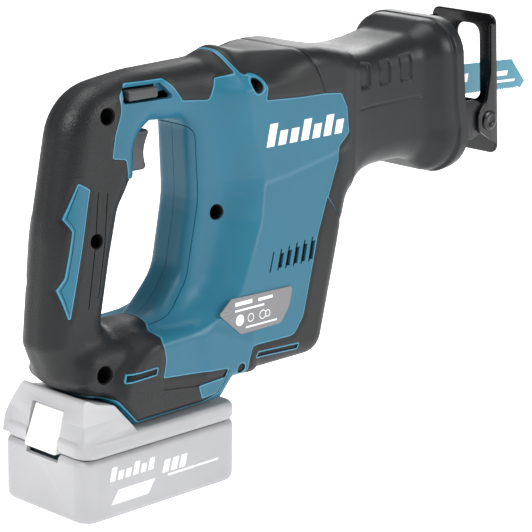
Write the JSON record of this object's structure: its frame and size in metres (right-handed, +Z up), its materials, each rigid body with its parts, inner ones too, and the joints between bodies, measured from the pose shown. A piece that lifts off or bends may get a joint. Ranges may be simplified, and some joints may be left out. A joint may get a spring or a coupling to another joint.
{
  "type": "cordless reciprocating saw",
  "caption": "D-handled cordless reciprocating saw with vertical motor, crank-driven slider and blade, tilting shoe and slide-on battery pack.",
  "frame": {"origin": "middle of the bounding box's underside: the plane of the battery's foot, halfway along and across", "axes": "+X from the grip to the blade, along the stroke; +Y to the tool's left; +Z up, away from the battery"},
  "size_m": [0.4293, 0.081, 0.2545],
  "materials": {
    "teal_plastic": "fine spark-eroded texture, satin",
    "charcoal_rubber": "fine-grained elastomer, satin",
    "boot_rubber": "smooth satin elastomer",
    "cast_aluminium": "as cast, bead blasted",
    "plate_steel": "brushed",
    "gear_steel": "hardened and oiled",
    "sintered_bronze": "sintered",
    "felt": "dense felt",
    "copper": "enamelled winding",
    "laminations": "stacked sheet",
    "nylon_black": "moulded",
    "black_steel": "gloss black paint",
    "black_screw": "black oxide",
    "blade_paint": "semi-gloss paint, ground teeth",
    "trigger_rubber": "satin",
    "potting": "potted board",
    "terminal": "moulded, with brass blades",
    "battery_plastic": "fine texture, satin",
    "button_plastic": "satin",
    "cell_wrap": "wrapped cells",
    "label_film": "printed film"
  },
  "bodies": {
    "saw_body": {"housing_right": "teal_plastic", "housing_left": "teal_plastic", "rear_grip_right": "charcoal_rubber", "rear_grip_left": "charcoal_rubber", "front_bumper_right": "charcoal_rubber", "front_bumper_left": "charcoal_rubber", "gear_cover": "charcoal_rubber", "front_boot": "boot_rubber", "gear_housing": "cast_aluminium", "gear_housing_cover": "plate_steel", "slider_bush_rear": "sintered_bronze", "slider_bush_front": "sintered_bronze", "slider_seal": "felt", "stator": "copper", "motor_bearing_top": "plate_steel", "motor_bearing_bottom": "plate_steel", "crank_bearing": "plate_steel", "switch_body": "nylon_black", "controller": "potting", "terminal_block": "terminal", "rating_label": "label_film", "housing_screw_1": "black_screw", "housing_screw_2": "black_screw", "housing_screw_3": "black_screw", "housing_screw_4": "black_screw", "housing_screw_5": "black_screw"},
    "rotor": {"rotor_core": "laminations", "rotor_shaft": "plate_steel", "fan": "nylon_black"},
    "crank": {"crank_gear": "gear_steel"},
    "slider": {"slider_shaft": "plate_steel", "clamp_pin": "black_screw", "blade": "blade_paint"},
    "blade_clamp": {"blade_clamp_sleeve": "black_steel"},
    "shoe_arm": {"shoe_bracket": "black_steel"},
    "shoe": {"shoe_plate": "black_steel", "shoe_rivet_right": "black_steel", "shoe_rivet_left": "black_steel"},
    "trigger": {"trigger": "trigger_rubber"},
    "lock_off": {"lock_off_button": "trigger_rubber"},
    "battery": {"battery_case": "battery_plastic", "battery_lid": "battery_plastic", "cell_pack": "cell_wrap"},
    "battery_button": {"battery_button": "button_plastic"}
  },
  "joints": [
    {"name": "rotor_spin", "type": "hinge", "parent": "saw_body", "child": "rotor", "pos_m": [-0.04732, 0, 0.12], "axis": [0, 0, 1], "continuous": true},
    {"name": "crank_spin", "type": "hinge", "parent": "saw_body", "child": "crank", "pos_m": [-0.02032, 0, 0.172], "axis": [0, 0, 1], "continuous": true},
    {"name": "blade_stroke", "type": "slide", "parent": "saw_body", "child": "slider", "axis": [1, 0, 0], "range_m": [-0.01, 0.01]},
    {"name": "clamp_turn", "type": "hinge", "parent": "slider", "child": "blade_clamp", "pos_m": [0.10268, 0, 0.207], "axis": [1, 0, 0], "range_deg": [0, 80], "stiffness_Nm_per_rad": 0.15},
    {"name": "shoe_slide", "type": "slide", "parent": "saw_body", "child": "shoe_arm", "axis": [1, 0, 0], "range_m": [0, 0.02]},
    {"name": "shoe_tilt", "type": "hinge", "parent": "shoe_arm", "child": "shoe", "pos_m": [0.14667, 0, 0.183], "axis": [0, 1, 0], "range_deg": [-12, 12]},
    {"name": "trigger_squeeze", "type": "slide", "parent": "saw_body", "child": "trigger", "axis": [-1, 0, 0], "range_m": [0, 0.006], "stiffness_N_per_m": 400},
    {"name": "lock_off_press", "type": "slide", "parent": "saw_body", "child": "lock_off", "axis": [0, 1, 0], "range_m": [-0.003, 0.003]},
    {"name": "battery_slide", "type": "slide", "parent": "saw_body", "child": "battery", "axis": [-1, 0, 0], "range_m": [0, 0.075]},
    {"name": "battery_button_press", "type": "slide", "parent": "battery", "child": "battery_button", "axis": [0, 0, -1], "range_m": [0, 0.004], "stiffness_N_per_m": 500}
  ],
  "couplings": [
    {"joint": "crank_spin", "follows": "rotor_spin", "ratio": -0.14894}
  ]
}
